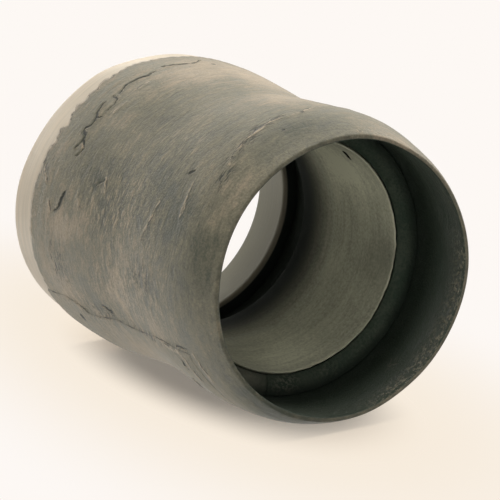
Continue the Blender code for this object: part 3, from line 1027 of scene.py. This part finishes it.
# %% Patterns and tones of the wrap
def wrap_patterns(tree, place):
    """The seven noise patterns of the wrap, from the broadest patches to the finest grain."""
    return SimpleNamespace(
        broad=mottled(tree, place, 0.030, 3.0, shift=(1.3, 0.2, 0.7)),
        patches=mottled(tree, place, 0.008, 5.0),
        teeth=mottled(tree, place, 0.0034, 5.0, 2.4),
        speckle=mottled(tree, place, 0.0017, 2.0, 2.4),
        grain=mottled(tree, place, 0.0009, 3.0, 2.8),
        streaks=brushed(tree, place, 0.013, 0.0028, 0.009),
        fibres=brushed(tree, place, 0.0040, 0.0010, 0.005))


def wrap_colour(tree, seen):
    """Four tones chosen by the painted dust and a sum of patterns, then pale fibres and dark speckle."""
    mottle = summed(tree, 0.0, [
        (seen.broad, 0.24), (seen.patches, 0.38), (seen.grain, 0.30), (seen.streaks, 0.30),
        (seen.fibres, 0.20)])
    tone = maths(tree, "MULTIPLY_ADD", mottle, painted(tree, "contrast"), painted(tree, "tone"))
    colour = shades(tree, times(tree, tone, TONE_SCALE), TONES)
    fibrous = times(tree, ramp(tree, seen.fibres, 0.58, 0.86), painted(tree, "fibre"))
    colour = blended(tree, times(tree, fibrous, 0.45), colour, PALE_SCUFF_AND_HIGHLIGHT)
    speckled = times(tree, ramp(tree, seen.speckle, 0.50, 0.80), painted(tree, "speckle"))
    return blended(tree, times(tree, speckled, 0.75), colour, DARK_RUBBER)


# %% Marks on the wrap
def wrap_marks(tree, place, seen, colour):
    """The colour with pale marks, cracks and the torn edge laid over it, with painted shadows beside the
    cracks,
    flakes, ridge and torn edge and a painted highlight on the cracks' lifted lips, and three masks for the
    bump:
    what is broken open or painted as shadow, what is pale, and what is bare ring past the edge."""
    lines = {}
    for name, (*line, pattern, limits) in LINES.items():
        held = ramp(tree, getattr(seen, pattern), *limits)
        lines[name] = times(tree, crack_line(tree, place, *line), held)
    teeth = times(tree, maths(tree, "SUBTRACT", seen.teeth, 0.5), painted(tree, "ragged"))
    edge = maths(tree, "SUBTRACT", painted(tree, "edge_gap"), SET_BACK)
    gap = maths(tree, "MULTIPLY_ADD", teeth, -TOOTH_LENGTH, edge)
    worn = times(tree, ramp(tree, gap, 1.2, 0.6), ramp(tree, seen.patches, 0.45, 0.7))
    # The pale mask holds pale flakes, the ridge, worn rubber and crumbled rubber, with a painted highlight
    # on the cracks' lifted lips
    pale = most(tree, lines["flake"], lines["crumbs_and_highlight"], lines["ridge"], worn)
    colour = blended(tree, times(tree, pale, 0.65), colour, PALE_SCUFF_AND_HIGHLIGHT)
    # Painted shade round the cracks
    colour = blended(tree, times(tree, lines["crack_shade"], 0.7), colour, DARK_RUBBER)
    crack = crack_line(tree, place, "crack", 0.42, 2.2)
    branch = crack_line(tree, place, "branch", 0.36, 2.2)
    dashes = times(tree, ramp(tree, seen.fibres, 0.40, 0.26), painted(tree, "dash"))
    # Painted shadow along the torn edge, where the wrap steps down to the ring
    edge_light_and_shade = times(tree, ramp(tree, gap, 0.50, 0.15), ramp(tree, seen.patches, 0.3, 0.6, 0.3, 0.9))
    edge_light_and_shade = times(tree, edge_light_and_shade, painted(tree, "ragged"))
    # Painted shadows beside the flakes and the ridge are laid on in black together with the cracks
    under = times(tree, lines["under"], 0.7)
    broken = most(tree, crack, branch, dashes, under, lines["seam"], lines["shade"], edge_light_and_shade)
    colour = blended(tree, broken, colour, CRACK_AND_SHADE_BLACK)
    bare = ramp(tree, gap, 0.04, -0.04)
    return blended(tree, bare, colour, BARE_RING), broken, pale, bare


# %% Bore side, and the whole recipe
def bore_side(tree, axial, seen):
    """Clean, dark rubber with scuffs inside the lip, made black by painted shade further into the socket,
    and the scuffs' mask."""
    clean = blended(tree, times(tree, seen.streaks, 0.25), BORE_RUBBER, DARK_RUBBER)
    scuffs = times(tree, ramp(tree, seen.speckle, 0.42, 0.85), ramp(tree, seen.grain, 0.2, 0.7, 0.35, 1.0))
    scuffs = times(tree, scuffs, painted(tree, "scuff"))
    clean = blended(tree, times(tree, scuffs, 0.80), clean, SCUFFED_BORE)
    # Painted shade: the bore turns black further into the socket, along the band's seat and in the recess
    painted_shade = ramp(tree, axial, SOCKET_SHADE_FROM, SOCKET_SHADE_TO)
    return blended(tree, times(tree, painted_shade, 0.85), clean, CRACK_AND_SHADE_BLACK), scuffs


def wrapped_rubber():
    """Worn wrap outside and clean rubber inside, with a roughness and a bump from the same patterns."""
    material, tree, output, place = new_material("wrapped_rubber_look")
    axial = node(tree, "SeparateXYZ", {0: place}).outputs[2]
    seen = wrap_patterns(tree, place)
    colour, broken, pale, bare = wrap_marks(tree, place, seen, wrap_colour(tree, seen))
    clean, scuffs = bore_side(tree, axial, seen)
    colour = blended(tree, ramp(tree, painted(tree, "bore"), 0.4, 0.6), colour, clean)
    rough = summed(tree, 0.54, [(seen.patches, 0.14), (seen.streaks, 0.14), (seen.grain, 0.10)])
    recess = times(tree, ramp(tree, axial, RECESS_FROM, RECESS_TO), painted(tree, "bore"))
    rough = maths(tree, "MULTIPLY_ADD", recess, 0.45, rough)
    height = summed(tree, 0.0, [
        (seen.patches, 0.16), (seen.grain, 0.09), (seen.streaks, 0.08), (seen.fibres, 0.09), (broken, -0.4),
        (pale, 0.12), (scuffs, 0.25), (bare, -0.3)])
    finish(tree, output, colour, rough, height, specular=0.38)
    return material


# %% [markdown]
# ## Liner, band and ring rubbers
#
# The liner is matt and dusty, and darker towards the rear, with a painted highlight along its front edge.
# The band is dark, with pale worn grain beside its lap, a dark line where its ends meet and painted shade
# that blackens it against the body's wall. The ring is the smoothest piece, with faint turned streaks and an
# outside made pale by dust and a painted sheen, a painted highlight on the edge of its nose and painted
# shade on the face that looks into the recess. Each is a shorter recipe made of the same parts.

# %% Tones of the other three rubbers
LINER_DUSTY = (0.66, 0.675, 0.53)
LINER_DARK = (0.006, 0.010, 0.007)
# Heights in metres over which the liner turns from dusty to dark towards the rear
LINER_DARKER_FROM, LINER_DARKER_TO = 0.082, 0.110
BAND_DARK = (0.019, 0.033, 0.022)
BAND_WORN = (0.165, 0.170, 0.135)
RING_PALE = (0.245, 0.240, 0.182)
RING_DEEP = (0.170, 0.170, 0.130)
# The outside's pale from dust and a painted sheen, also used for the painted highlight on the nose
RING_DUST_AND_SHEEN = (0.56, 0.49, 0.39)


# %% Liner rubber
def liner_rubber():
    """Dusty grain over a dark tone that takes over towards the rear, with a painted highlight on the front
    edge and a small tear."""
    material, tree, output, place = new_material("liner_rubber_look")
    broad = mottled(tree, place, 0.022, 3.0)
    grain = mottled(tree, place, 0.0012, 3.0, 2.2)
    streaks = brushed(tree, place, 0.03, 0.0025)
    axial = node(tree, "SeparateXYZ", {0: place}).outputs[2]
    front_share = ramp(tree, axial, LINER_DARKER_FROM, LINER_DARKER_TO, 1.0, 0.0)
    dusty = times(tree, front_share, painted(tree, "tone"))
    mottle = summed(tree, 0.0, [(broad, 0.40), (grain, 0.46), (streaks, 0.24)])
    dust = clamped(tree, maths(tree, "MULTIPLY_ADD", mottle, dusty, dusty))
    colour = blended(tree, dust, LINER_DARK, LINER_DUSTY)
    # Painted highlight on the front edge
    edge_light_and_shade = times(tree, painted(tree, "edge_light_and_shade"), ramp(tree, broad, 0.3, 0.6, 0.3, 0.9))
    around = times(tree, crack_line(tree, place, "crack", 1.7, 1.6), 0.6)
    colour = blended(tree, most(tree, edge_light_and_shade, around), colour, LINER_DUSTY)
    tear = crack_line(tree, place, "crack", 1.0, 1.2)
    colour = blended(tree, tear, colour, CRACK_AND_SHADE_BLACK)
    rough = summed(tree, 0.85, [(grain, 0.12), (broad, 0.1)])
    height = summed(tree, 0.0, [(grain, 0.06), (streaks, 0.05), (tear, -0.4)])
    finish(tree, output, colour, rough, height, specular=0.06)
    return material


# %% Band rubber
def band_rubber():
    """Dark rubber with worn, pale grain in patches, mostly next to the lap."""
    material, tree, output, place = new_material("band_rubber_look")
    patches = mottled(tree, place, 0.012, 4.0, shift=(0.4, 0.9, 0.1))
    grain = mottled(tree, place, 0.0012, 3.0, 2.6)
    worn = times(tree, ramp(tree, grain, 0.4, 0.8), painted(tree, "rough"))
    worn = most(tree, worn, summed(tree, 0.06, [(patches, 0.25), (grain, 0.20)]))
    worn = clamped(tree, maths(tree, "ADD", worn, painted(tree, "smooth")))
    colour = blended(tree, worn, BAND_DARK, BAND_WORN)
    # Painted shade where the band meets the body's wall
    colour = blended(tree, painted(tree, "crease"), colour, CRACK_AND_SHADE_BLACK)
    lap = fracture(tree, place, painted(tree, "lap"), 1.0, 0.5, 1.0, grain=0.003)
    colour = blended(tree, lap, colour, CRACK_AND_SHADE_BLACK)
    height = summed(tree, 0.0, [(grain, 0.14), (patches, 0.12), (lap, -0.3)])
    finish(tree, output, colour, summed(tree, 0.65, [(grain, 0.15)]), height, specular=0.18)
    return material


# %% Ring rubber
def ring_rubber():
    """Smooth rubber in two close tones with faint turned streaks, glossier on the outside and paler there
    with dust and a painted sheen, a painted highlight on the nose's edge and painted shade on its front
    face.
    """
    material, tree, output, place = new_material("ring_rubber_look")
    broad = mottled(tree, place, 0.035, 3.0)
    grain = mottled(tree, place, 0.0010, 2.0, 1.6)
    streaks = brushed(tree, place, 0.040, 0.0012, 0.001)
    outer = painted(tree, "outer")
    tone = clamped(tree, summed(tree, 0.5, [(broad, 0.4), (grain, 0.12), (streaks, 0.4)]))
    colour = blended(tree, tone, RING_DEEP, RING_PALE)
    dusty = summed(tree, 0.85, [(streaks, 0.35), (broad, 0.25)])
    # Dust and a painted sheen on the outside, a painted highlight on the nose's edge, and painted shade on
    # its front face
    colour = blended(tree, times(tree, dusty, outer), colour, RING_DUST_AND_SHEEN)
    colour = blended(tree, painted(tree, "painted_shade"), colour, CRACK_AND_SHADE_BLACK)
    rough = summed(tree, 0.68, [(streaks, 0.10), (broad, 0.08)])
    rough = maths(tree, "MULTIPLY_ADD", outer, -0.25, rough)
    height = summed(tree, 0.0, [(streaks, 0.05), (grain, 0.02)])
    finish(tree, output, colour, rough, height, specular=0.3)
    return material


# %% [markdown]
# ## The four pieces
#
# Now each builder gets its rubber. The pieces are made from the outside in, and each one stands in for
# the CAD solid that it was made from.

# %% Make the four pieces
pieces = [wrapped_body(wrapped_rubber()), liner(liner_rubber()),
          stop_band(band_rubber()), end_ring(ring_rubber())]
print(f"{len(pieces)} pieces, {2 * sum(len(piece.data.polygons) for piece in pieces)} triangles together")

# %% [markdown]
# ## Two floors
#
# In the photograph the coupling lies on its side on a white sweep. The CAD frame stands it on its front
# mouth. So there are two floors: the one it stands on, seen only from above, and a sheet that touches
# both bulges on the side that lies lowest in the photograph. Each shows only its front, to camera rays,
# so neither hides the coupling from the other side or darkens it.
#
# Both keep the coupling's shadow. Near the coupling the paper is lit as usual, and a little light of its
# own lifts it to the pale tone of the sweep. Past an oval patch it fades through a warm white into the
# white surroundings, so that no edge of the paper shows.

# %% Paper for the floors
MIDDLE = (0.0, 0.0, LENGTH / 2)
PAPER = (0.72, 0.636, 0.53)
PAPER_GLOW = 0.16
WHITE = (0.983, 0.939, 0.905)
WARM_WHITE = (0.925, 0.83, 0.71)
# In half sizes of the patch: where the lit paper fades out, and where the warm white does
FADE_FROM, FADE_TO = 0.95, 1.85
TINT_FROM, TINT_TO = 1.4, 4.5
# Middle of the patch, and one over its half size along each axis
LYING_PATCH = ((0.0, 0.0, 0.108), (1 / 0.030, 0.0, 1 / 0.080))
STANDING_PATCH = ((0.0, 0.0, 0.0), (1 / 0.080, 1 / 0.080, 0.0))


def paper(name, middle, stretch):
    """Pale paper that fades into the white surroundings: by how far a point lies from the patch's middle,
    in half sizes of the patch. Its front shows to camera rays, and its back and other rays pass
    through."""
    material, tree, output, place = new_material(name)
    lit = node(tree, "BsdfDiffuse", {"Color": (*PAPER, 1)}).outputs[0]
    glow = node(tree, "Emission", {"Color": (*WHITE, 1), "Strength": PAPER_GLOW}).outputs[0]
    near = node(tree, "AddShader", {0: lit, 1: glow}).outputs[0]
    away = node(tree, "VectorMath", {0: place, 1: middle}, operation="SUBTRACT").outputs[0]
    away = node(tree, "VectorMath", {0: away, 1: stretch}, operation="MULTIPLY").outputs[0]
    away = node(tree, "VectorMath", {0: away}, operation="LENGTH").outputs["Value"]
    tint = blended(tree, ramp(tree, away, TINT_FROM, TINT_TO), WARM_WHITE, WHITE)
    far = node(tree, "Emission", {"Color": tint, "Strength": 1.0}).outputs[0]
    faded = node(tree, "MixShader", {0: ramp(tree, away, FADE_FROM, FADE_TO), 1: near, 2: far}).outputs[0]
    clear = node(tree, "BsdfTransparent").outputs[0]
    front = maths(tree, "SUBTRACT", 1.0, node(tree, "NewGeometry").outputs["Backfacing"])
    shown = times(tree, node(tree, "LightPath").outputs["Is Camera Ray"], front)
    mix = node(tree, "MixShader", {0: shown, 1: clear, 2: faded}).outputs[0]
    tree.links.new(mix, output.inputs[0])
    return material


def sheet(name, middle, across, along, material):
    """A flat square of half size SHEET_SIZE round middle, whose front is the side that across x along
    points to."""
    middle, across, along = (np.array(v, float) for v in (middle, across, along))
    around = ((-1, -1), (1, -1), (1, 1), (-1, 1))
    corners = [middle + SHEET_SIZE * (a * across + b * along) for a, b in around]
    mesh = bpy.data.meshes.new(name)
    mesh.from_pydata([tuple(corner) for corner in corners], [], [(0, 1, 2, 3)])
    mesh.materials.append(material)
    item = bpy.data.objects.new(name, mesh)
    bpy.context.scene.collection.objects.link(item)


# %% Lay the floors
SHEET_SIZE = 1.5
# Radius and height of the two places where the lying coupling touches its sheet
FRONT_TOUCH = (0.0632, 0.033)
REAR_TOUCH = (0.0669, 0.145)
tilt = math.atan2(REAR_TOUCH[0] - FRONT_TOUCH[0], REAR_TOUCH[1] - FRONT_TOUCH[1])
leaning = np.array([0.0, math.sin(tilt), math.cos(tilt)])
sheet("standing_floor", (0, 0, 0), (1, 0, 0), (0, 1, 0), paper("standing_paper", *STANDING_PATCH))
sheet("lying_floor", (0.0, *FRONT_TOUCH), (1, 0, 0), leaning, paper("lying_paper", *LYING_PATCH))
print(f"two floors, the lying one tilted by {math.degrees(tilt):.1f} degrees")

# %% [markdown]
# ## White surroundings
#
# A studio sweep is white all round. A world as bright as it looks would wash the dark rubber out, so it
# has two faces: rays from the camera, and rays that come from it by a reflection or through glass, see
# full white, while the light that falls on the rubber from all sides is weak.

# %% White surroundings
AMBIENT = 0.09
AMBIENT_TINT = (1.0, 0.97, 0.93)
world = bpy.data.worlds.new("white_room")
bpy.context.scene.world = world
world.use_nodes = True
tree = world.node_tree
tree.nodes.clear()
ray = node(tree, "LightPath").outputs
looked_at = most(tree, ray["Is Camera Ray"], ray["Is Glossy Ray"], ray["Is Transmission Ray"])
bright = node(tree, "Background", {"Color": (*WHITE, 1), "Strength": 1.0}).outputs[0]
soft = node(tree, "Background", {"Color": (*AMBIENT_TINT, 1), "Strength": AMBIENT}).outputs[0]
mix = node(tree, "MixShader", {0: looked_at, 1: soft, 2: bright}).outputs[0]
tree.links.new(mix, node(tree, "OutputWorld").inputs[0])
print(f"surroundings: white to look at, and {AMBIENT} of that as light")

# %% [markdown]
# ## Lamps
#
# The photograph's shadows are soft, so the lamps are large squares. Up in the photograph is minus Y in
# the frame and right is plus X. Most light comes from above, from the right and from behind. The others
# are weaker: one looks into the mouth, so that the bore is not lost, and one stands for light that the
# sweep throws back.


# %% Lamps
def lamp(name, place, target, size, power, colour):
    """A square area lamp of that size at place, facing target."""
    data = bpy.data.lights.new(name, "AREA")
    data.shape = "SQUARE"
    data.size = size
    data.energy = power
    data.color = colour
    back = np.array(place, float) - np.array(target, float)
    back /= np.linalg.norm(back)
    side = np.cross((0.0, 0.0, 1.0) if abs(back[2]) < 0.9 else (1.0, 0.0, 0.0), back)
    side /= np.linalg.norm(side)
    aim(bpy.data.objects.new(name, data), side, np.cross(back, side), back, place)


LAMP_DISTANCE = 1.1
LAMP_SIZE = 0.9
WARM = (1.0, 0.945, 0.86)
# Name, direction from the coupling, power in W
LAMPS = [("top", (0.0, -1.0, 0.0), 9.6), ("right_top", (0.7, -0.7, 0.1), 6.3),
         ("rear", (0.0, 0.0, 1.0), 6.7), ("bounce", (-0.7, 0.6, 0.4), 4.7), ("right", (1.0, 0.0, 0.0), 3.2),
         ("right_rear", (0.5, -0.6, 0.6), 1.8), ("mouth", (-0.72, 0.10, -0.68), 4.2),
         ("top_front", (-0.2, -0.75, -0.65), 1.9)]
for name, direction, power in LAMPS:
    away = np.array(direction) / np.linalg.norm(direction)
    lamp(name, MIDDLE + LAMP_DISTANCE * away, MIDDLE, LAMP_SIZE, power, WARM)
print(f"{len(LAMPS)} soft lamps, {sum(power for _, _, power in LAMPS):.1f} W together")
